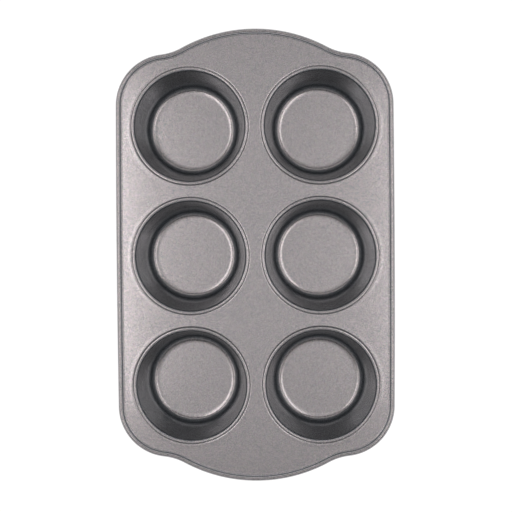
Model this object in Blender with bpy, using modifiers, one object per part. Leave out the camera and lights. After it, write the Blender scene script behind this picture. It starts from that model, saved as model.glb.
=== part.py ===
"""Muffin pan: six drawn cups seamed into a pressed tray, whose edge is rolled round a stiffening wire.

The pan stands on its cups at z = 0, with its length along Y and its origin under its middle.
Every size is in metres.
"""

from math import asin, atan2, cos, pi, radians, sin, tan

import bmesh
import bpy

# Stock that the pieces are made from, and the room left where they meet
TRAY_SHEET = 0.0005
CUP_SHEET = 0.0005
WIRE_DIAMETER = 0.0026
FIT_GAP = 0.0003

# Cups: the depth runs from the floor to the tray's face, and the lands are the flats between two lips
CUP_COLUMNS = ("left", "right")
CUP_ROWS = ("front", "middle", "back")
CUP_DEPTH = 0.0435
WALL_DRAFT = radians(10)
BASE_CORNER_RADIUS = 0.0063
LAND_ACROSS = 0.0098
LAND_ALONG = 0.0098

# Lips: the wall bends out to the lip's crest, which curls down tightly to the seam
MOUTH_DIAMETER = 0.088
LIP_WIDTH = 0.0021
MOUTH_BEND_RADIUS = 0.00225
LIP_CURL_RADIUS = 0.0009

# Seam: a step pressed up round each hole, and a collar that the cup's lip is curled over
STEP_HEIGHT = 0.0004
STEP_WIDTH = 0.001
STEP_LEDGE = 0.00035
COLLAR_HEIGHT = 0.0007
COLLAR_BEND_RADIUS = 0.0003

# Outline: the margins run from a lip to the edge, and the end tabs stand out past the corners
SIDE_MARGIN = 0.01185
END_MARGIN = 0.0098
SIDE_BOW = 0.0005
CORNER_RADIUS = 0.040
CORNER_TURN = radians(83.5)
WAIST_RADIUS = 0.045
TAB_PROJECTION = 0.0192

# Rim: the sheet turns up from the tray's face and rolls over the wire
RIM_BEND_RADIUS = 0.001
RIM_UPSTAND = 0.0014
CURL_SWEEP = radians(300)

# Fineness of the faceted shapes
CUP_SEGMENTS = 32
SIDE_STEPS = 2
CORNER_STEPS = 8
WAIST_STEPS = 3
TAB_STEPS = 5
CURL_STEPS = 10
RIM_BEND_STEPS = 2
LIP_CURL_STEPS = 2
MOUTH_BEND_STEPS = 3
BASE_CORNER_STEPS = 3
MERGE_DISTANCE = 0.00001
SHARP_ANGLE = radians(35)

# Places worked out from the sizes above
SEAM_RADIUS = MOUTH_DIAMETER / 2 + LIP_WIDTH
COLLAR_RADIUS = SEAM_RADIUS - CUP_SHEET - FIT_GAP
CREST_RADIUS = SEAM_RADIUS - LIP_CURL_RADIUS
CUP_PITCH_X = 2 * SEAM_RADIUS + LAND_ACROSS
CUP_PITCH_Y = 2 * SEAM_RADIUS + LAND_ALONG
TRAY_TOP = CUP_SHEET + CUP_DEPTH
COLLAR_TOP = STEP_HEIGHT + COLLAR_HEIGHT
LIP_CREST = COLLAR_TOP + LIP_CURL_RADIUS
CURL_RADIUS = WIRE_DIAMETER / 2 + FIT_GAP + TRAY_SHEET
HALF_WIDTH = (len(CUP_COLUMNS) - 1) / 2 * CUP_PITCH_X + SEAM_RADIUS + SIDE_MARGIN
HALF_BODY = (len(CUP_ROWS) - 1) / 2 * CUP_PITCH_Y + SEAM_RADIUS + END_MARGIN
HALF_LENGTH = HALF_BODY + TAB_PROJECTION

# Finishes, with linear colours
COATING = {"colour": (0.27, 0.245, 0.25), "roughness": 0.42, "metallic": 0.9}
WIRE_STEEL = {"colour": (0.55, 0.55, 0.56), "roughness": 0.35, "metallic": 1.0}


def material(name, finish):
    """A Principled material with one colour, roughness and metallic value."""
    made = bpy.data.materials.new(name)
    made.use_nodes = True
    made.diffuse_color = (*finish["colour"], 1)
    shader = made.node_tree.nodes["Principled BSDF"]
    shader.inputs["Base Color"].default_value = (*finish["colour"], 1)
    shader.inputs["Roughness"].default_value = finish["roughness"]
    shader.inputs["Metallic"].default_value = finish["metallic"]
    return made


def arc(across, up, radius, start, end, steps):
    """Points along an arc, both ends included."""
    turns = [start + (end - start) * i / steps for i in range(steps + 1)]
    return [(across + radius * cos(a), up + radius * sin(a)) for a in turns]


def outline_arcs():
    """The arcs of one quarter of the tray's edge, from the middle of a side to the middle of a tab.

    Each is (centre x, centre y, radius, bulge, first angle, last angle, steps). The bulge is 1 where
    the edge bulges out and -1 at the waist, which bulges in. Neighbouring arcs are tangent.
    """
    corner_y = HALF_BODY - CORNER_RADIUS
    side_radius = (corner_y**2 + SIDE_BOW**2) / (2 * SIDE_BOW)
    side_x = HALF_WIDTH - side_radius
    side_end = asin(corner_y / (side_radius - CORNER_RADIUS))
    corner_x = side_x + (side_radius - CORNER_RADIUS) * cos(side_end)
    waist_x = corner_x + (CORNER_RADIUS + WAIST_RADIUS) * cos(CORNER_TURN)
    waist_y = corner_y + (CORNER_RADIUS + WAIST_RADIUS) * sin(CORNER_TURN)

    # The tab's arc touches the waist's, and its middle is on the pan's own middle line
    above = waist_y - HALF_LENGTH
    tab_radius = (waist_x**2 + above**2 - WAIST_RADIUS**2) / (2 * (WAIST_RADIUS - above))
    tab_y = HALF_LENGTH - tab_radius
    tab_start = atan2(waist_y - tab_y, waist_x)
    return [
        (side_x, 0, side_radius, 1, 0, side_end, SIDE_STEPS),
        (corner_x, corner_y, CORNER_RADIUS, 1, side_end, CORNER_TURN, CORNER_STEPS),
        (waist_x, waist_y, WAIST_RADIUS, -1, CORNER_TURN + pi, tab_start + pi, WAIST_STEPS),
        (0, tab_y, tab_radius, 1, tab_start, pi / 2, TAB_STEPS),
    ]


def outline(inset, height):
    """The tray's edge moved inwards by the inset, as one closed loop of points at that height."""
    quarter = []
    for x, y, radius, bulge, start, end, steps in outline_arcs():
        quarter += arc(x, y, radius - bulge * inset, start, end, steps)[:-1]
    quarter.append((0, HALF_LENGTH - inset))
    back = quarter + [(-x, y) for x, y in quarter[-2::-1]]
    front = [(x, -y) for x, y in back[-2:0:-1]]
    return [(x, y, height) for x, y in back + front]


def cup_places():
    """The name and the centre of each cup."""
    for column, side in enumerate(CUP_COLUMNS):
        for row, end in enumerate(CUP_ROWS):
            x = (column - (len(CUP_COLUMNS) - 1) / 2) * CUP_PITCH_X
            y = (row - (len(CUP_ROWS) - 1) / 2) * CUP_PITCH_Y
            yield f"cup_{end}_{side}", x, y


def rim_profile():
    """(inset, height over the tray's face) of the rim's outer skin, from the face to the curl's hidden end."""
    upright = 2 * CURL_RADIUS
    bend = arc(upright + RIM_BEND_RADIUS, RIM_BEND_RADIUS, RIM_BEND_RADIUS, -pi / 2, -pi, RIM_BEND_STEPS)
    curl = arc(CURL_RADIUS, RIM_UPSTAND, CURL_RADIUS, 0, CURL_SWEEP, CURL_STEPS)
    return bend + curl


def collar_profile():
    """(radius, height over the tray's face) of a hole's step, ledge and collar, from the face inwards."""
    ledge = SEAM_RADIUS + STEP_LEDGE
    return [
        (ledge + STEP_WIDTH, 0),
        (ledge, STEP_HEIGHT),
        (COLLAR_RADIUS + COLLAR_BEND_RADIUS, STEP_HEIGHT),
        (COLLAR_RADIUS, STEP_HEIGHT + COLLAR_BEND_RADIUS),
        (COLLAR_RADIUS, COLLAR_TOP),
    ]


def cup_profile():
    """(radius, height) of a cup's inner skin, from the end of its curled lip down to the middle of its floor."""
    crest = TRAY_TOP + LIP_CREST
    hem = (SEAM_RADIUS, TRAY_TOP + STEP_HEIGHT + FIT_GAP)
    curl = arc(CREST_RADIUS, crest - LIP_CURL_RADIUS, LIP_CURL_RADIUS, 0, pi / 2, LIP_CURL_STEPS)
    bend = arc(
        CREST_RADIUS, crest - MOUTH_BEND_RADIUS, MOUTH_BEND_RADIUS, pi / 2, pi - WALL_DRAFT, MOUTH_BEND_STEPS
    )

    # The wall is tangent to the bend above it and to the base corner below it
    wall_top_radius, wall_top = bend[-1]
    base_radius = wall_top_radius - (wall_top - CUP_SHEET) * tan(WALL_DRAFT)
    corner_run = BASE_CORNER_RADIUS * tan((pi / 2 - WALL_DRAFT) / 2)
    corner_up = CUP_SHEET + BASE_CORNER_RADIUS
    corner = arc(
        base_radius - corner_run, corner_up, BASE_CORNER_RADIUS, -WALL_DRAFT, -pi / 2, BASE_CORNER_STEPS
    )
    return [hem, *curl, *bend[1:], *corner, (0, CUP_SHEET)]


def add_piece(name, data, finish, collection, location=(0, 0, 0)):
    """A named object with its material."""
    piece = bpy.data.objects.new(name, data)
    piece.location = location
    if not data.materials:
        data.materials.append(finish)
    collection.objects.link(piece)
    return piece


def solidify(piece, thickness, side):
    """Gives an open sheet its thickness, on the side of its normals for 1 and behind them for -1."""
    sheet = piece.modifiers.new("Sheet thickness", "SOLIDIFY")
    sheet.thickness = thickness
    sheet.offset = side
    sheet.use_even_offset = True


def loft_rim(mesh):
    """Skins the rim between copies of the outline, one for each point of its profile."""
    rings = []
    for inset, height in rim_profile():
        rings.append([mesh.verts.new(point) for point in outline(inset, TRAY_TOP + height)])
    for ring, outer in zip(rings, rings[1:]):
        for i in range(len(ring)):
            mesh.faces.new((ring[i - 1], outer[i - 1], outer[i], ring[i]))


def turn_collar(mesh, x, y):
    """Turns the step and collar of one hole round the cup's axis."""
    corners = [mesh.verts.new((x + radius, y, TRAY_TOP + height)) for radius, height in collar_profile()]
    profile = [mesh.edges.new(pair) for pair in zip(corners, corners[1:])]
    bmesh.ops.spin(
        mesh,
        geom=corners + profile,
        cent=(x, y, 0),
        axis=(0, 0, 1),
        angle=2 * pi,
        steps=CUP_SEGMENTS,
        use_merge=True,
    )


def on_tray_face(edge):
    """Whether an open edge lies in the plane of the tray's face."""
    return edge.is_boundary and all(abs(end.co.z - TRAY_TOP) < MERGE_DISTANCE for end in edge.verts)


def add_tray(collection):
    """The pressed sheet: a flat face with a stepped collar round each hole, and a rolled edge."""
    sheet = bmesh.new()
    loft_rim(sheet)
    for _, x, y in cup_places():
        turn_collar(sheet, x, y)
    face_edges = [edge for edge in sheet.edges if on_tray_face(edge)]
    filled = bmesh.ops.triangle_fill(sheet, edges=face_edges, use_beauty=True, normal=(0, 0, 1))
    bmesh.ops.recalc_face_normals(sheet, faces=sheet.faces)
    face = next(item for item in filled["geom"] if isinstance(item, bmesh.types.BMFace))
    if face.normal.z < 0:
        bmesh.ops.reverse_faces(sheet, faces=sheet.faces)
    data = bpy.data.meshes.new("tray_sheet")
    sheet.to_mesh(data)
    sheet.free()
    data.shade_smooth()
    data.set_sharp_from_angle(angle=SHARP_ANGLE)
    tray = add_piece("tray_sheet", data, material("tray_coating", COATING), collection)
    solidify(tray, TRAY_SHEET, -1)


def add_cups(collection):
    """The drawn cups: one profile turned round each cup's axis, with the lip curled over the collar."""
    corners = [(radius, 0, height) for radius, height in cup_profile()]
    data = bpy.data.meshes.new("cup")
    data.from_pydata(corners, [(i, i + 1) for i in range(len(corners) - 1)], [])
    coating = material("cup_coating", COATING)
    for name, x, y in cup_places():
        cup = add_piece(name, data, coating, collection, (x, y, 0))
        turn = cup.modifiers.new("Turned shape", "SCREW")
        turn.axis = "Z"
        turn.angle = 2 * pi
        turn.steps = CUP_SEGMENTS
        turn.render_steps = CUP_SEGMENTS
        turn.use_merge_vertices = True
        turn.merge_threshold = MERGE_DISTANCE
        turn.use_smooth_shade = True
        solidify(cup, CUP_SHEET, 1)


def add_wire(collection):
    """The steel wire that the tray's edge is rolled round."""
    data = bpy.data.curves.new("rim_wire", "CURVE")
    data.dimensions = "3D"
    data.twist_mode = "Z_UP"
    data.bevel_depth = WIRE_DIAMETER / 2
    data.bevel_resolution = 2
    points = outline(CURL_RADIUS, TRAY_TOP + RIM_UPSTAND)
    spline = data.splines.new("POLY")
    spline.points.add(len(points) - 1)
    for point, place in zip(spline.points, points):
        point.co = (*place, 1)
    spline.use_cyclic_u = True
    add_piece("rim_wire", data, material("wire_steel", WIRE_STEEL), collection)


def main():
    for old in list(bpy.data.objects):
        bpy.data.objects.remove(old)
    pan = bpy.data.collections.new("muffin_pan")
    bpy.context.scene.collection.children.link(pan)
    add_tray(pan)
    add_cups(pan)
    add_wire(pan)


main()
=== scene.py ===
"""Muffin pan: the looks of its coated tray, its six seamed cups and the wire in its rim.

The pieces are modelled round the packed model, which gives their places. Every size is in metres.
"""

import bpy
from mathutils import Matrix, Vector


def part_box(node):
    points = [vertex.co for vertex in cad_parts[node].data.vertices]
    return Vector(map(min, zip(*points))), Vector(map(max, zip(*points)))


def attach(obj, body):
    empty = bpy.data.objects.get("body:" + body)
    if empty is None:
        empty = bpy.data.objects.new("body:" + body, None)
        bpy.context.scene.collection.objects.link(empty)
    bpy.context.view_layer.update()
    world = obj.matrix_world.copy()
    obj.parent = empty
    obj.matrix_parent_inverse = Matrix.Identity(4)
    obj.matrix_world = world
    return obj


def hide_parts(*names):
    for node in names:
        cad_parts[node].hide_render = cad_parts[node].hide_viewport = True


bl_info = {
    "name": "Muffin Pan",
    "version": (1, 0, 0),
    "blender": (4, 5, 0),
    "location": "3D View > Sidebar > Muffin Pan",
    "description": "Models a muffin pan with six seamed cups and its coating, on a studio stage",
    "category": "Add Mesh",
}

from math import asin, atan2, cos, pi, radians, sin, tan

import bmesh
import bpy
from bpy.props import FloatProperty, FloatVectorProperty, IntProperty, PointerProperty
from mathutils import Matrix, Vector

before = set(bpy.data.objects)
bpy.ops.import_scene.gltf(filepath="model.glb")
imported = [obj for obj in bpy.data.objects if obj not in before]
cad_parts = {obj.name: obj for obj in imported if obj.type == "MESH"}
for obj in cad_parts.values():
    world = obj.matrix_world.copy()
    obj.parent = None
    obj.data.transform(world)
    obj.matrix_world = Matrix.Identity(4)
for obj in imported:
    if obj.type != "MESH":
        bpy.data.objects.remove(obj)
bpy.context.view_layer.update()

TRAY_NODE = "tray_sheet"
WIRE_NODE = "rim_wire"
CUP_NODES = [node for node in sorted(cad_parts) if node.startswith("cup_")]
TRAY_LOW, TRAY_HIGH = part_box(TRAY_NODE)
CUP_LOW, CUP_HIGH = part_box(CUP_NODES[0])
CUP_RADIUS = (CUP_HIGH.x - CUP_LOW.x) / 2

# How far a lip stays inside the outline of the packed cup
LIP_SETBACK = 0.0002

# Vertices of a turned skin that are closer than this are one vertex
MERGE_DISTANCE = 0.000002

# The same where mirrored halves meet, and for finding the edges that lie in the tray's face
SEAM_SLACK = 0.00002

# Edges sharper than this stay sharp
SHARP_ANGLE = radians(40)

# Rounding of a sheet's cut edge: its share of the thickness, its steps and a bevel profile that is round
CUT_EDGE_SHARE = 0.3
CUT_EDGE_STEPS = 2
CUT_EDGE_ROUND = 0.5

# Layers of finer noise in the gloss's clouds, in the orange peel and in the wire's marks and patches
CLOUD_DETAIL = 3.0
PEEL_DETAIL = 1.0
MARK_DETAIL = 2.0

# The level that noise lies about
NOISE_MIDDLE = 0.5

# The floor is a disc that lies just under the pan
FLOOR_RADIUS = 12.0
FLOOR_STEPS = 64
FLOOR_DROP = 0.0001

# Brightness of the room by the height of a direction, from the horizon at 0 to straight up at 1
ROOM_BRIGHTNESS = 1.8
ROOM_LEVELS = (
    (0.0, 0.72),
    (0.38, 0.72),
    (0.46, 0.33),
    (0.52, 0.13),
    (0.65, 0.23),
    (0.72, 0.20),
    (0.84, 0.016),
    (0.905, 0.016),
    (0.93, 0.31),
    (0.965, 0.33),
    (0.985, 0.48),
    (1.0, 0.51),
)

# How much of the lamps' colour the ceiling has, by the height of a direction
CEILING_BLEND = ((0.91, 0.0), (0.93, 0.6), (0.97, 0.6), (0.985, 0.4))

# Softboxes that hang over the pan and face down: name, (x, y), width, depth and brightness
LAMP_HEIGHT = 1.20
SOFTBOXES = (
    ("left softbox", (-0.35, 0.0), 0.20, 0.60, 2.60),
    ("left softbox core", (-0.40, 0.0), 0.12, 0.40, 1.20),
    ("left softbox edge", (-0.42, 0.0), 0.36, 1.10, 0.30),
    ("left wing", (-0.90, 0.0), 0.46, 1.30, 1.30),
    ("right softbox", (0.35, 0.0), 0.20, 0.60, 2.50),
    ("right softbox core", (0.34, 0.0), 0.16, 0.30, 0.35),
    ("right softbox edge", (0.42, 0.0), 0.36, 1.10, 0.22),
    ("right wing", (0.90, 0.0), 0.46, 1.30, 1.20),
    ("back wing", (0.0, 0.95), 1.30, 0.34, 0.75),
)

# The camera, close to straight above the pan
CAMERA_PLACE = (0.0154, 0.0229, 0.9325)
CAMERA_TURN = (radians(-1.4954), radians(0.9558), radians(-0.3995))
CAMERA_LENS_MM = 79.64
CAMERA_SENSOR_MM = 36
CAMERA_CLIP_END = 100


def length(name, description, default):
    """A size in metres."""
    return FloatProperty(
        name=name, description=description, default=default, min=0, unit="LENGTH", precision=5
    )


def angle(name, description, default):
    """An angle in radians, which the sidebar shows in degrees."""
    return FloatProperty(name=name, description=description, default=default, unit="ROTATION")


def colour(name, description, default):
    """A linear colour."""
    return FloatVectorProperty(
        name=name, description=description, default=default, min=0, max=1, size=3, subtype="COLOR"
    )


def share(name, description, default):
    """A number from 0 to 1."""
    return FloatProperty(
        name=name, description=description, default=default, min=0, max=1, subtype="FACTOR"
    )


def count(name, description, default):
    """A number of steps."""
    return IntProperty(name=name, description=description, default=default, min=1)


class TraySizes(bpy.types.PropertyGroup):
    """Sizes of the pressed tray"""

    half_width: length("Half width", "From the middle line to the side's outermost edge", TRAY_HIGH.x)
    half_length: length("Half length", "From the middle line to the tip of a tab", TRAY_HIGH.y)
    sheet: length("Sheet", "Thickness of the tray's steel", 0.0005)
    corner_radius: length("Corner radius", "Radius of the four corners", 0.040)
    corner_turn: angle("Corner turn", "Where the corner's arc passes into the waist", radians(83.5))
    waist_radius: length("Waist radius", "Radius of the hollow between a corner and a tab", 0.045)
    tab_projection: length("Tab projection", "How far a tab stands out past the corners", 0.0192)
    side_bow: length("Side bow", "How far a long side bulges out", 0.0005)
    swell_height: length("Swell height", "How far the sheet swells up towards each hole", 0.00003)
    swell_width: length("Swell width", "Width of that gentle swell", 0.0028)
    dip_round: length("Dip round", "Radius on which the sheet starts down beside a cup's lip", 0.003)
    dip_turn: angle("Dip turn", "Slope where that round passes into the tight one", radians(20))
    joint_round: length("Joint round", "Radius of the tight round at the joint itself", 0.0004)
    joint_turn: angle("Joint turn", "Slope at the joint's deepest place", radians(75))
    joint_ledge: length("Joint ledge", "Flat ring between the joint and the collar's bend", 0.00075)
    collar_radius: length("Collar radius", "Outer radius of the collar under a cup's lip", 0.0449)
    collar_height: length("Collar height", "From the face to the collar's cut edge", 0.0003)
    collar_bend: length("Collar bend", "Radius of the bend up into the collar", 0.0003)


class RimSizes(bpy.types.PropertyGroup):
    """Sizes of the rolled rim and the wire in it"""

    curl_radius: length("Curl radius", "Outer radius of the rolled edge", 0.0017)
    curl_sweep: angle("Curl sweep", "How far round the wire the sheet is rolled", radians(300))
    upstand: length("Upstand", "Height of the curl's centre over the tray's face", 0.0018)
    bend_radius: length("Bend radius", "Radius of the bend up from the face", 0.0013)
    wire_radius: length("Wire radius", "Radius of the stiffening wire", 0.00115)


class CupSizes(bpy.types.PropertyGroup):
    """Sizes of the drawn cups"""

    depth: length("Depth", "From the tray's face to the cup's floor", 0.0435)
    sheet: length("Sheet", "Thickness of a cup's steel", 0.0005)
    draft: angle("Draft", "Slope of the wall from upright", radians(10.15))
    base_corner: length("Base corner", "Inner radius between the wall and the floor's edge", 0.0053)
    base_round: length("Base round", "Radius on which the floor starts up at its edge", 0.014)
    base_turn: angle("Base turn", "Slope where that round passes into the base corner", radians(12))
    lip_round: length("Lip round", "Radius of the lip's top beside its crest", 0.0028)
    lip_turn: angle("Lip turn", "Slope where the lip's top passes into the bends beside it", radians(12))
    mouth_bend: length("Mouth bend", "Radius of the bend from the lip's top to the flare", 0.0008)
    flare_turn: angle("Flare turn", "Slope where the lip's bend passes into the flare", radians(50))
    mouth_flare: length("Mouth flare", "Radius of the flare between that bend and the wall", 0.0055)
    lip_reach: length("Lip reach", "Outer radius of the curled lip", CUP_RADIUS - LIP_SETBACK)
    lip_curl: length("Lip curl", "Radius of the bend down from the lip's top on the outside", 0.0005)
    lip_crest: length("Lip crest", "Height of the lip over the tray's face", 0.0011)
    hem_height: length("Hem height", "Height of the lip's cut edge over the tray's face", 0.0001)


class Fineness(bpy.types.PropertyGroup):
    """How finely the round shapes are stepped"""

    round_cup: count("Cup steps", "Steps round a cup or a hole", 128)
    side: count("Side steps", "Steps along half of a long side", 8)
    corner: count("Corner steps", "Steps round a corner", 36)
    waist: count("Waist steps", "Steps round a waist", 14)
    tab: count("Tab steps", "Steps along half of a tab", 20)
    curl: count("Curl steps", "Steps round the rolled edge", 32)
    bend: count("Bend steps", "Steps of a small bend", 6)
    lip: count("Lip steps", "Steps over each half of a cup's lip", 10)
    fillet: count("Fillet steps", "Steps between a cup's wall and its floor", 16)
    wire: count("Wire steps", "Steps round the wire", 20)
    hold: length("Hold", "Width of the narrow faces that keep flats flat beside a bend", 0.0004)


class CoatingLook(bpy.types.PropertyGroup):
    """Colours and gloss of the coating and the wire"""

    flake_dark: colour("Dark flakes", "Colour of the coating's darkest flakes", (0.229, 0.2545, 0.271))
    flake_light: colour("Light flakes", "Colour of the coating's lightest flakes", (0.3495, 0.3885, 0.414))
    flake_hue: share("Flake hue", "How much the hue differs from flake to flake", 0.045)
    flake_size: length("Flake size", "Width of one flake", 0.00052)
    grain_size: length("Grain size", "Width of the coating's finest grains", 0.0001)
    grain_gloss: share("Grain gloss", "How much rougher the dullest grains are", 0.36)
    metallic: share("Metallic", "How metallic the coating and the wire are", 1.0)
    roughness: share("Roughness", "Roughness of the coating's smoothest grains", 0.15)
    cloud_size: length("Cloud size", "Width of the patches where the gloss differs", 0.02)
    cloud_gloss: share("Cloud gloss", "How much the roughness differs from patch to patch", 0.03)
    peel_size: length("Peel size", "Width of the orange peel's bumps", 0.0012)
    peel_depth: length("Peel depth", "Height of the orange peel's bumps", 0.000004)
    wire_dark: colour("Dull wire", "Colour of the steel wire's dull patches", (0.46, 0.45, 0.44))
    wire_light: colour("Bright wire", "Colour of the steel wire", (0.6, 0.6, 0.61))
    wire_gloss: share("Wire gloss", "Roughness of the wire where it is smoothest", 0.25)
    wire_wear: share("Wire wear", "How much its patches and its marks each add to that roughness", 0.1)
    mark_size: length("Mark size", "Width of the wire's drawing marks", 0.0003)


class StageLook(bpy.types.PropertyGroup):
    """The studio round the pan"""

    floor: colour("Floor", "Colour of the floor", (1.0, 1.0, 1.0))
    floor_tint: colour("Floor tint", "Colour of the floor that the pan reflects", (1.0, 0.925, 0.905))
    floor_glow: share("Floor glow", "How much of the floor's white is its own, untouched by shadow", 0.96)
    floor_trace: share("Floor trace", "How much of the shadow the floor shows", 0.12)
    room: colour("Room", "Colour of the room's walls and ceiling", (1.0, 0.873, 0.849))
    lamps: colour("Lamps", "Colour of the softboxes", (1.0, 0.8145, 0.768))


class Socket:
    """The output of a shader node. Python's operators on it add Math nodes."""

    def __init__(self, output):
        self.output = output

    def maths(self, operation, first, second):
        shading = Shading(self.output.id_data)
        return shading.add("ShaderNodeMath", {"operation": operation}, {0: first, 1: second})["Value"]

    def __add__(self, other):
        return self.maths("ADD", self, other)

    def __radd__(self, other):
        return self.maths("ADD", other, self)

    def __sub__(self, other):
        return self.maths("SUBTRACT", self, other)

    def __rsub__(self, other):
        return self.maths("SUBTRACT", other, self)

    def __mul__(self, other):
        return self.maths("MULTIPLY", self, other)

    def __rmul__(self, other):
        return self.maths("MULTIPLY", other, self)

    def larger(self, other):
        return self.maths("MAXIMUM", self, other)


class Shading:
    """A node tree that is built one node at a time."""

    def __init__(self, tree):
        self.tree = tree

    def add(self, kind, settings=None, sockets=None):
        """Adds a node. Its settings are set first, then the values or links of its sockets."""
        node = self.tree.nodes.new(kind)
        for name, value in (settings or {}).items():
            if name == "stops":
                self.fill_ramp(node.color_ramp, value)
            else:
                setattr(node, name, value)
        for name, value in (sockets or {}).items():
            entry = self.input_of(node, name)
            if isinstance(value, Socket):
                self.tree.links.new(value.output, entry)
            else:
                entry.default_value = value
        return {output.name: Socket(output) for output in node.outputs if output.enabled}

    def input_of(self, node, name):
        """The input with that number, or the one in use with that name."""
        if isinstance(name, int):
            return node.inputs[name]
        return next(entry for entry in node.inputs if entry.name == name and entry.enabled)

    def fill_ramp(self, ramp, stops):
        """Gives a colour ramp its stops, each a place and a grey level."""
        while len(ramp.elements) < len(stops):
            ramp.elements.new(0.5)
        for element, (place, level) in zip(ramp.elements, stops):
            element.position = place
            element.color = (level, level, level, 1)


def new_material(name):
    """An empty material and the shading that fills it."""
    made = bpy.data.materials.new(name)
    made.use_nodes = True
    made.node_tree.nodes.clear()
    return made, Shading(made.node_tree)


def opaque(tint):
    """A colour with full alpha, as a colour socket takes it."""
    return (*tint, 1)


def mixed(shading, factor, first, second, blend="MIX"):
    """Two colours blended by a factor."""
    settings = {"data_type": "RGBA", "blend_type": blend}
    return shading.add("ShaderNodeMix", settings, {"Factor": factor, "A": first, "B": second})["Result"]


def cells(shading, place, size):
    """A random colour for each small cell."""
    return shading.add("ShaderNodeTexVoronoi", {}, {"Vector": place, "Scale": 1 / size})["Color"]


def noise(shading, place, size, detail):
    """A smooth random level."""
    sockets = {"Vector": place, "Scale": 1 / size, "Detail": detail}
    return shading.add("ShaderNodeTexNoise", {}, sockets)["Fac"]


def metal(shading, look, tint, roughness, bumps):
    """A metallic surface with fine bumps, sent to the material's output."""
    bump = {"Strength": 1.0, "Distance": look.peel_depth, "Height": bumps}
    normal = shading.add("ShaderNodeBump", {}, bump)["Normal"]
    surface = {"Base Color": tint, "Metallic": look.metallic, "Roughness": roughness, "Normal": normal}
    shader = shading.add("ShaderNodeBsdfPrincipled", {}, surface)["BSDF"]
    shading.add("ShaderNodeOutputMaterial", {}, {"Surface": shader})


def coating(name, look):
    """Baked non-stick coating, with metallic flakes, a shallow orange peel and a slightly uneven gloss."""
    made, shading = new_material(name)
    made.diffuse_color = opaque(look.flake_light)
    place = shading.add("ShaderNodeTexCoord")["Object"]

    # Each flake has its own lightness, and a little of a hue of its own
    flakes = cells(shading, place, look.flake_size)
    lightness = shading.add("ShaderNodeSeparateColor", {}, {"Color": flakes})["Red"]
    grey = mixed(shading, lightness, opaque(look.flake_dark), opaque(look.flake_light))
    tint = mixed(shading, look.flake_hue, grey, flakes)

    # Of the finer grains most lie flat and shine, and a few stand up and look dull
    grains = cells(shading, place, look.grain_size)
    grain = shading.add("ShaderNodeSeparateColor", {}, {"Color": grains})["Green"]
    dull = grain * grain * grain
    clouds = noise(shading, place, look.cloud_size, CLOUD_DETAIL)
    roughness = look.roughness + dull * look.grain_gloss + (clouds - NOISE_MIDDLE) * look.cloud_gloss
    peel = noise(shading, place, look.peel_size, PEEL_DETAIL)
    metal(shading, look, tint, roughness, peel)
    return made


def drawn_steel(name, look):
    """Bright drawn wire, with fine marks and a few dull patches."""
    made, shading = new_material(name)
    made.diffuse_color = opaque(look.wire_light)
    place = shading.add("ShaderNodeTexCoord")["Object"]
    marks = noise(shading, place, look.mark_size, MARK_DETAIL)
    patches = noise(shading, place, look.cloud_size, MARK_DETAIL)
    tint = mixed(shading, patches, opaque(look.wire_dark), opaque(look.wire_light))
    roughness = look.wire_gloss + patches * look.wire_wear + marks * look.wire_wear
    metal(shading, look, tint, roughness, marks)
    return made


def face_height(rim):
    """Height of the tray's face, which the rim's crest stands over."""
    return TRAY_HIGH.z - rim.upstand - rim.curl_radius


def arc(across, up, radius, start, end, steps):
    """Points along an arc, both ends included."""
    turns = [start + (end - start) * i / steps for i in range(steps + 1)]
    return [(across + radius * cos(a), up + radius * sin(a)) for a in turns]


def held(start, end, hold):
    """Two points on a straight run, close to its ends, so that the flat between them shades as a flat."""
    first, last = Vector(start), Vector(end)
    along = (last - first).normalized() * hold
    return [tuple(first + along), tuple(last - along)]


def chain(mesh, points):
    """Vertices joined by edges, from one end of a profile to the other."""
    corners = [mesh.verts.new(point) for point in points]
    edges = [mesh.edges.new(pair) for pair in zip(corners, corners[1:])]
    return corners + edges


def turned(section, steps):
    """A skin made by turning (radius, height) points all the way round the Z axis."""
    skin = bmesh.new()
    profile = chain(skin, [(radius, 0, height) for radius, height in section])
    bmesh.ops.spin(
        skin, geom=profile, cent=(0, 0, 0), axis=(0, 0, 1), angle=2 * pi, steps=steps, use_merge=True
    )
    bmesh.ops.remove_doubles(skin, verts=skin.verts, dist=MERGE_DISTANCE)
    bmesh.ops.recalc_face_normals(skin, faces=skin.faces)
    return skin


def copy_into(mesh, shape, place):
    """Adds a copy of a shape to a mesh, moved to its place."""
    data = bpy.data.meshes.new("copy")
    shape.to_mesh(data)
    data.transform(Matrix.Translation(place))
    mesh.from_mesh(data)
    bpy.data.meshes.remove(data)


def middle_of(node):
    """The point on the floor under the middle of a cup's box in the frame."""
    low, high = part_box(node)
    return Vector(((low.x + high.x) / 2, (low.y + high.y) / 2, 0))


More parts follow.
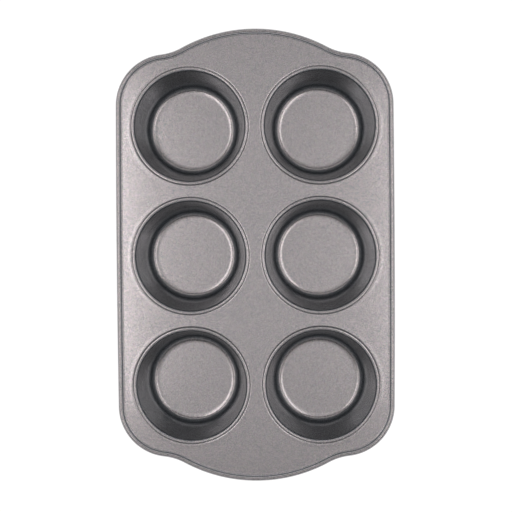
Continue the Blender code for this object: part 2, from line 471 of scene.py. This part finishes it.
def edge_turns(tray, fine):
    """The turns that carry a profile along a quarter of the tray's edge, from a side's middle to a tab's.

    Each is (centre x, centre y, angle, steps), and each arc is tangent to the next.
    """
    corner_y = tray.half_length - tray.tab_projection - tray.corner_radius
    side_radius = (corner_y**2 + tray.side_bow**2) / (2 * tray.side_bow)
    side_x = tray.half_width - side_radius
    side_end = asin(corner_y / (side_radius - tray.corner_radius))
    corner_x = side_x + (side_radius - tray.corner_radius) * cos(side_end)
    reach = tray.corner_radius + tray.waist_radius
    waist_x = corner_x + reach * cos(tray.corner_turn)
    waist_y = corner_y + reach * sin(tray.corner_turn)

    # The tab's arc touches the waist's, and its middle is on the pan's own middle line
    above = waist_y - tray.half_length
    tab_radius = (waist_x**2 + above**2 - tray.waist_radius**2) / (2 * (tray.waist_radius - above))
    tab_y = tray.half_length - tab_radius
    tab_start = atan2(waist_y - tab_y, waist_x)
    return [
        (side_x, 0, side_end, fine.side),
        (corner_x, corner_y, tray.corner_turn - side_end, fine.corner),
        (waist_x, waist_y, tab_start - tray.corner_turn, fine.waist),
        (0, tab_y, pi / 2 - tab_start, fine.tab),
    ]


def follow_edge(mesh, profile, tray, fine):
    """Carries a profile from the right side's middle along a quarter of the edge, and mirrors it twice."""
    for x, y, turn, steps in edge_turns(tray, fine):
        swept = bmesh.ops.spin(mesh, geom=profile, cent=(x, y, 0), axis=(0, 0, 1), angle=turn, steps=steps)
        profile = swept["geom_last"]
    for axis in "XY":
        whole = mesh.verts[:] + mesh.edges[:] + mesh.faces[:]
        bmesh.ops.mirror(mesh, geom=whole, matrix=Matrix.Identity(4), merge_dist=0, axis=axis)
        bmesh.ops.remove_doubles(mesh, verts=mesh.verts, dist=SEAM_SLACK)


def rim_profile(tray, rim, fine):
    """The rim's outer skin at the middle of the right side, from the face to the curl's hidden end."""
    upright = 2 * rim.curl_radius
    bend_end = upright + rim.bend_radius
    bend = arc(bend_end, rim.bend_radius, rim.bend_radius, -pi / 2, -pi, fine.bend)
    curl = arc(rim.curl_radius, rim.upstand, rim.curl_radius, 0, rim.curl_sweep, fine.curl)
    section = [(bend_end + fine.hold, 0), *bend, *curl]
    top = face_height(rim)
    return [(tray.half_width - inset, 0, top + height) for inset, height in section]


def ramp(start, end, steps):
    """Points on a smooth slope from one (radius, height) to another, level at both ends."""
    points = []
    for i in range(steps + 1):
        way = i / steps
        rise = (1 - cos(pi * way)) / 2
        points.append((start[0] + (end[0] - start[0]) * way, start[1] + (end[1] - start[1]) * rise))
    return points


def rolled(crest, bends, steps):
    """(distance, height) from a level crest down tangent bends, each a radius and the slope at its end."""
    points = [(0, crest)]
    slope = 0
    for radius, turn in bends:
        distance, height = points[-1]
        centre = (distance - radius * sin(slope), height - radius * cos(slope))
        points += arc(*centre, radius, pi / 2 - slope, pi / 2 - turn, steps)[1:]
        slope = turn
    return points


def hole_profile(tray, fine):
    """(radius, height over the face) of a hole's swell, joint, ledge and collar, going inwards."""
    ledge_end = tray.collar_radius + tray.collar_bend
    joint_end = ledge_end + tray.joint_ledge
    rounds = ((tray.dip_round, tray.dip_turn), (tray.joint_round, tray.joint_turn))
    slope = rolled(tray.swell_height, rounds, fine.bend)
    crest = joint_end + slope[-1][0]
    foot = crest + tray.swell_width
    swell = ramp((foot, 0), (crest, tray.swell_height), 2 * fine.bend)
    dip = [(crest - inwards, height) for inwards, height in slope]
    ledge = dip[-1][1]
    bend = arc(ledge_end, ledge + tray.collar_bend, tray.collar_bend, -pi / 2, -pi, fine.bend)
    return [(foot + fine.hold, 0), *swell, *dip[1:], *bend, (tray.collar_radius, tray.collar_height)]


def cup_profile(cup, fine, top):
    """(radius, height) of a cup's inner skin, from its lip's cut edge down to the middle of its floor."""
    crest = top + cup.lip_crest
    top_round = (cup.lip_round, cup.lip_turn)
    outside = rolled(crest, (top_round, (cup.lip_curl, pi / 2)), fine.lip)
    crest_radius = cup.lip_reach - outside[-1][0]
    curl = [(crest_radius + outwards, height) for outwards, height in reversed(outside)]
    rounds = (top_round, (cup.mouth_bend, cup.flare_turn), (cup.mouth_flare, pi / 2 - cup.draft))
    bend = [(crest_radius - inwards, height) for inwards, height in rolled(crest, rounds, fine.lip)]

    # The wall runs straight from the flare to the base corner, and both are tangent to it
    floor = top - cup.depth
    rounds = ((cup.base_round, cup.base_turn), (cup.base_corner, pi / 2 - cup.draft))
    rise = rolled(0, rounds, fine.fillet)
    corner_width, corner_drop = rise[-1]
    wall_top_radius, wall_top = bend[-1]
    floor_radius = wall_top_radius - (wall_top - floor + corner_drop) * tan(cup.draft) - corner_width
    corner = [(floor_radius + outwards, floor - drop) for outwards, drop in reversed(rise)]
    hem = (cup.lip_reach, top + cup.hem_height)
    wall = held(bend[-1], corner[0], fine.hold)
    return [hem, *curl, *bend[1:], *wall, *corner, (floor_radius - fine.hold, floor), (0, floor)]


def thicken(mesh, thickness):
    """Gives an open skin the sheet's thickness behind it, and rounds the cut edges."""
    skin = set(mesh.faces)
    cut = [edge for edge in mesh.edges if edge.is_boundary]
    bmesh.ops.solidify(mesh, geom=mesh.faces[:], thickness=thickness)
    ends = {face for edge in cut for face in edge.link_faces if face not in skin}

    # An arris has a cut end on one side only
    arrises = [edge for edge in mesh.edges if {face in ends for face in edge.link_faces} == {True, False}]
    bmesh.ops.bevel(
        mesh,
        geom=arrises,
        offset=thickness * CUT_EDGE_SHARE,
        offset_type="OFFSET",
        segments=CUT_EDGE_STEPS,
        profile=CUT_EDGE_ROUND,
        affect="EDGES",
        material=-1,
    )


def finish_piece(name, mesh, finish, slot, *nodes):
    """Turns the mesh into a piece that stands for its CAD nodes and rides on the pan."""
    data = bpy.data.meshes.new(name)
    mesh.to_mesh(data)
    mesh.free()
    data.shade_smooth()
    data.set_sharp_from_angle(angle=SHARP_ANGLE)
    data.materials.append(finish)
    piece = bpy.data.objects.new(name, data)
    bpy.context.scene.collection.objects.link(piece)
    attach(piece, "root")
    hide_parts(*nodes)


class MUFFINPAN_OT_add_tray(bpy.types.Operator):
    """Model the pressed tray, with a rounded joint and a collar at each hole, and a rolled edge"""

    bl_idname = "muffinpan.add_tray"
    bl_label = "Add Tray"

    def execute(self, context):
        tray = context.scene.pan_tray
        rim = context.scene.pan_rim
        fine = context.scene.pan_fineness
        top = face_height(rim)
        sheet = bmesh.new()
        follow_edge(sheet, chain(sheet, rim_profile(tray, rim, fine)), tray, fine)
        section = [(radius, top + height) for radius, height in hole_profile(tray, fine)]
        hole = turned(section, fine.round_cup)
        for node in CUP_NODES:
            copy_into(sheet, hole, middle_of(node))
        hole.free()
        open_edges = [
            edge
            for edge in sheet.edges
            if edge.is_boundary and all(abs(end.co.z - top) < SEAM_SLACK for end in edge.verts)
        ]
        filled = bmesh.ops.triangle_fill(sheet, edges=open_edges, use_beauty=True, normal=(0, 0, 1))
        bmesh.ops.recalc_face_normals(sheet, faces=sheet.faces)
        flat = next(item for item in filled["geom"] if isinstance(item, bmesh.types.BMFace))
        if flat.normal.z < 0:
            bmesh.ops.reverse_faces(sheet, faces=sheet.faces)
        thicken(sheet, tray.sheet)
        finish = coating("speckled tray coating", context.scene.pan_coating)
        finish_piece("pressed_tray", sheet, finish, "tray_coating", TRAY_NODE)
        return {"FINISHED"}


class MUFFINPAN_OT_add_cups(bpy.types.Operator):
    """Model the six drawn cups, each with its lip curled over its hole's collar"""

    bl_idname = "muffinpan.add_cups"
    bl_label = "Add Cups"

    def execute(self, context):
        cup = context.scene.pan_cups
        fine = context.scene.pan_fineness
        top = face_height(context.scene.pan_rim)
        finish = coating("speckled cup coating", context.scene.pan_coating)
        shape = turned(cup_profile(cup, fine, top), fine.round_cup)
        thicken(shape, cup.sheet)
        for node in CUP_NODES:
            drawn = bmesh.new()
            copy_into(drawn, shape, middle_of(node))
            finish_piece(node.replace("cup", "drawn_cup"), drawn, finish, "cup_coating", node)
        shape.free()
        return {"FINISHED"}


class MUFFINPAN_OT_add_wire(bpy.types.Operator):
    """Model the wire that the tray's edge is rolled round"""

    bl_idname = "muffinpan.add_wire"
    bl_label = "Add Rim Wire"

    def execute(self, context):
        tray = context.scene.pan_tray
        rim = context.scene.pan_rim
        fine = context.scene.pan_fineness
        height = face_height(rim) + rim.upstand
        x = tray.half_width - rim.curl_radius
        wire = bmesh.new()
        circle = arc(x, height, rim.wire_radius, 0, 2 * pi, fine.wire)
        ring = chain(wire, [(across, 0, up) for across, up in circle])
        follow_edge(wire, ring, tray, fine)
        bmesh.ops.recalc_face_normals(wire, faces=wire.faces)
        finish = drawn_steel("drawn wire", context.scene.pan_coating)
        finish_piece("stiffening_wire", wire, finish, "wire_steel", WIRE_NODE)
        return {"FINISHED"}


class MUFFINPAN_OT_add_stage(bpy.types.Operator):
    """Lay the floor, hang the soft lights and place the camera"""

    bl_idname = "muffinpan.add_stage"
    bl_label = "Add Stage"

    def execute(self, context):
        look = context.scene.pan_stage
        add_floor(look)
        light_room(look)
        add_camera()
        context.scene.view_settings.view_transform = "Standard"
        return {"FINISHED"}


def add_floor(look):
    """A wide white floor that keeps a trace of the pan's shadow, and that is open from below."""
    disc = bmesh.new()
    bmesh.ops.create_circle(disc, cap_ends=True, segments=FLOOR_STEPS, radius=FLOOR_RADIUS)
    bmesh.ops.translate(disc, verts=disc.verts, vec=(0, 0, -FLOOR_DROP))
    data = bpy.data.meshes.new("floor")
    disc.to_mesh(data)
    disc.free()
    floor = bpy.data.objects.new("floor", data)
    bpy.context.scene.collection.objects.link(floor)
    made, shading = new_material("white floor")
    ray = shading.add("ShaderNodeLightPath")

    # For soft bounces of light the floor is plain and matt
    matt = shading.add("ShaderNodeBsdfDiffuse", {}, {"Color": opaque(look.floor)})["BSDF"]

    # Where it is seen or mirrored it glows and keeps a trace of shadow, and the pan mirrors it tinted
    seen = ray["Is Camera Ray"].larger(ray["Is Glossy Ray"]).larger(ray["Is Transmission Ray"])
    white = mixed(shading, ray["Is Glossy Ray"], opaque(look.floor), opaque(look.floor_tint))
    glow = shading.add("ShaderNodeEmission", {}, {"Color": white, "Strength": look.floor_glow})["Emission"]
    trace = [look.floor_trace * level for level in look.floor]
    shaded = shading.add("ShaderNodeBsdfDiffuse", {}, {"Color": opaque(trace)})["BSDF"]
    lit = shading.add("ShaderNodeAddShader", {}, {0: glow, 1: shaded})["Shader"]
    top = shading.add("ShaderNodeMixShader", {}, {0: seen, 1: matt, 2: lit})["Shader"]
    under = shading.add("ShaderNodeBsdfTransparent")["BSDF"]
    back = shading.add("ShaderNodeNewGeometry")["Backfacing"]
    surface = shading.add("ShaderNodeMixShader", {}, {0: back, 1: top, 2: under})["Shader"]
    shading.add("ShaderNodeOutputMaterial", {}, {"Surface": surface})
    data.materials.append(made)


def light_room(look):
    """The room, pale round the horizon and overhead and dark between, and the softboxes in it.

    Brightness is set in the green channel, so that a tint leaves it as it is.
    """
    world = bpy.data.worlds.new("studio")
    bpy.context.scene.world = world
    world.use_nodes = True
    world.node_tree.nodes.clear()
    shading = Shading(world.node_tree)
    direction = shading.add("ShaderNodeTexCoord")["Generated"]
    height = shading.add("ShaderNodeSeparateXYZ", {}, {"Vector": direction})["Z"]
    level = shading.add("ShaderNodeValToRGB", {"stops": ROOM_LEVELS}, {"Fac": height})["Color"]
    ceiling = shading.add("ShaderNodeValToRGB", {"stops": CEILING_BLEND}, {"Fac": height})["Color"]
    lining = mixed(shading, ceiling, opaque(look.room), opaque(look.lamps))
    tint = mixed(shading, 1.0, level, lining, "MULTIPLY")
    light = {"Color": tint, "Strength": ROOM_BRIGHTNESS / look.room.g}
    glow = shading.add("ShaderNodeBackground", {}, light)["Background"]
    shading.add("ShaderNodeOutputWorld", {}, {"Surface": glow})
    for name, centre, width, depth, brightness in SOFTBOXES:
        lamp = bpy.data.lights.new(name, "AREA")
        lamp.shape = "RECTANGLE"
        lamp.size = width
        lamp.size_y = depth
        lamp.color = look.lamps
        lamp.energy = brightness * pi * width * depth / look.lamps.g
        hung = bpy.data.objects.new(name, lamp)
        hung.location = (*centre, LAMP_HEIGHT)
        hung.visible_camera = False
        bpy.context.scene.collection.objects.link(hung)


def add_camera():
    """The camera over the pan."""
    data = bpy.data.cameras.new("camera")
    data.lens = CAMERA_LENS_MM
    data.sensor_width = CAMERA_SENSOR_MM
    data.clip_end = CAMERA_CLIP_END
    camera = bpy.data.objects.new("camera", data)
    camera.location = CAMERA_PLACE
    camera.rotation_euler = CAMERA_TURN
    bpy.context.scene.collection.objects.link(camera)
    bpy.context.scene.camera = camera


class MUFFINPAN_PT_sidebar(bpy.types.Panel):
    """The pan's pieces, sizes and finishes"""

    bl_idname = "MUFFINPAN_PT_sidebar"
    bl_label = "Muffin Pan"
    bl_space_type = "VIEW_3D"
    bl_region_type = "UI"
    bl_category = "Muffin Pan"

    def draw(self, context):
        for piece in PIECES:
            self.layout.operator(piece.bl_idname)
        for name, kind in SETTINGS.items():
            box = self.layout.box()
            box.label(text=kind.__doc__)
            for value in kind.__annotations__:
                box.prop(getattr(context.scene, name), value)


PIECES = (MUFFINPAN_OT_add_tray, MUFFINPAN_OT_add_cups, MUFFINPAN_OT_add_wire, MUFFINPAN_OT_add_stage)
SETTINGS = {
    "pan_tray": TraySizes,
    "pan_rim": RimSizes,
    "pan_cups": CupSizes,
    "pan_fineness": Fineness,
    "pan_coating": CoatingLook,
    "pan_stage": StageLook,
}


def register():
    for kind in (*SETTINGS.values(), *PIECES, MUFFINPAN_PT_sidebar):
        bpy.utils.register_class(kind)
    for name, kind in SETTINGS.items():
        setattr(bpy.types.Scene, name, PointerProperty(type=kind))


def unregister():
    for name in SETTINGS:
        delattr(bpy.types.Scene, name)
    for kind in (MUFFINPAN_PT_sidebar, *PIECES, *SETTINGS.values()):
        bpy.utils.unregister_class(kind)


def main():
    register()
    bpy.ops.muffinpan.add_tray()
    bpy.ops.muffinpan.add_cups()
    bpy.ops.muffinpan.add_wire()
    bpy.ops.muffinpan.add_stage()


if __name__ == "__main__":
    main()
